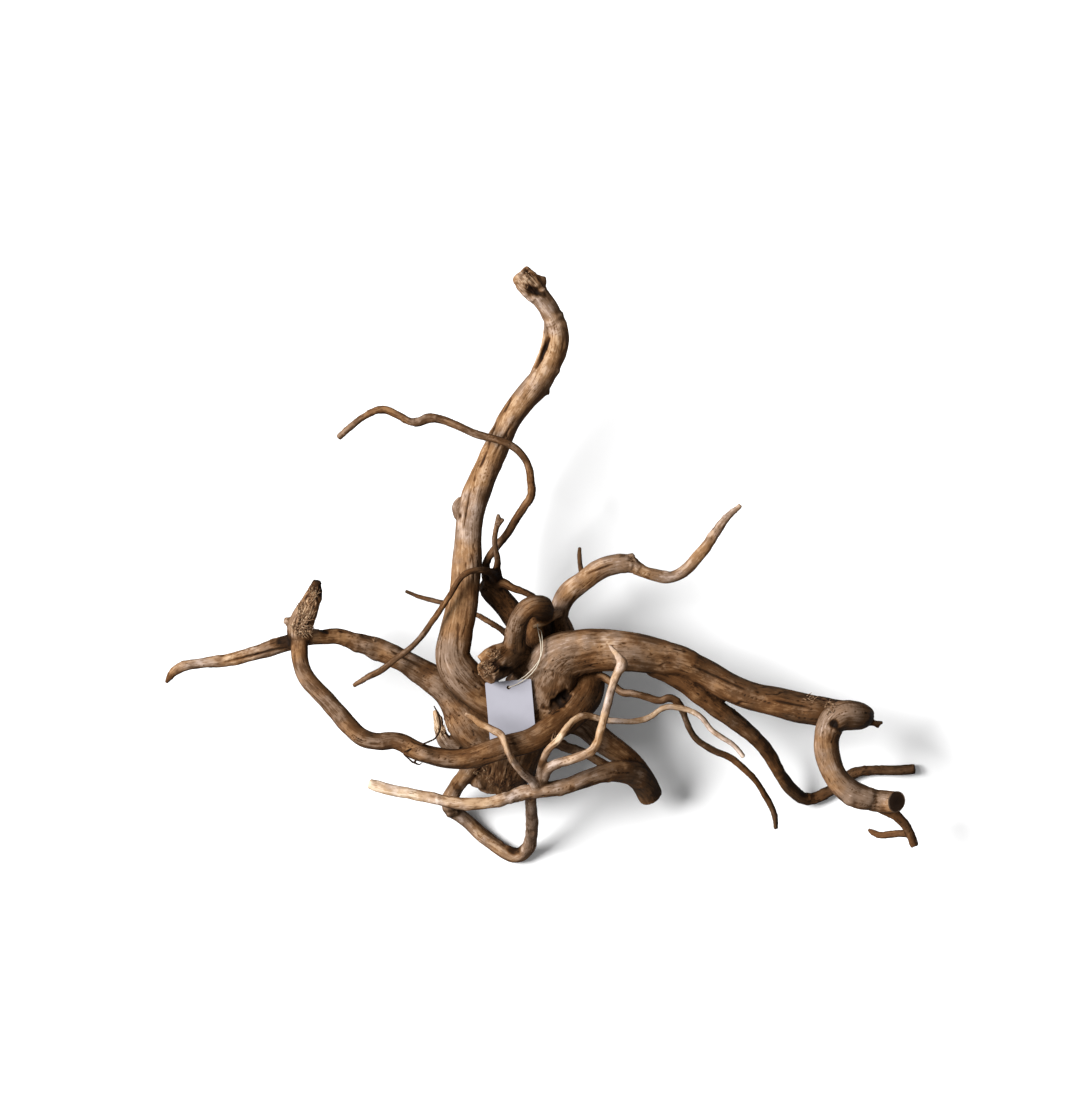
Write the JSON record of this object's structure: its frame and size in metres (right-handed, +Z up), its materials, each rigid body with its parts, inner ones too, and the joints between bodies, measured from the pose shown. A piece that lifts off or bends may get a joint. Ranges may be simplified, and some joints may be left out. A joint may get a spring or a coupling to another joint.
{
  "type": "bog root",
  "caption": "Weathered, branching shrub root crown lying flat, with a flat sawn foot, crooked arms, fine roots and a blank card tag tied on by a thread.",
  "frame": {"origin": "on the surface that the root lies on, under the middle of the root's bounding box", "axes": "+X towards the hooked arm, along the longest extent; +Y towards the tall knuckled arm; +Z up, away from the surface"},
  "size_m": [0.6022, 0.4768, 0.1311],
  "materials": {
    "brown_root_wood": "dry weathered",
    "dark_root_wood": "dry weathered",
    "pale_root_wood": "dry weathered",
    "tag_card": "matt",
    "tag_thread": "satin"
  },
  "bodies": {
    "root": {"crown": "brown_root_wood", "vertical_arm": "brown_root_wood", "curl_root": "brown_root_wood", "whip_root": "brown_root_wood", "crossing_root": "brown_root_wood", "main_right_arm": "brown_root_wood", "hook": "brown_root_wood", "hook_twig": "brown_root_wood", "left_arm": "brown_root_wood", "torn_knot": "brown_root_wood", "loop_arm": "brown_root_wood", "floor_loop": "brown_root_wood", "back_root": "dark_root_wood", "low_back_root": "dark_root_wood", "stub_root": "dark_root_wood", "trailing_root": "dark_root_wood", "long_fine_root": "dark_root_wood", "pale_twig": "pale_root_wood", "tag_twig": "pale_root_wood", "short_fine_root": "pale_root_wood", "front_limb": "pale_root_wood", "upper_right_branch": "pale_root_wood", "left_tip": "pale_root_wood", "tag_card": "tag_card", "tag_thread": "tag_thread"}
  },
  "joints": []
}
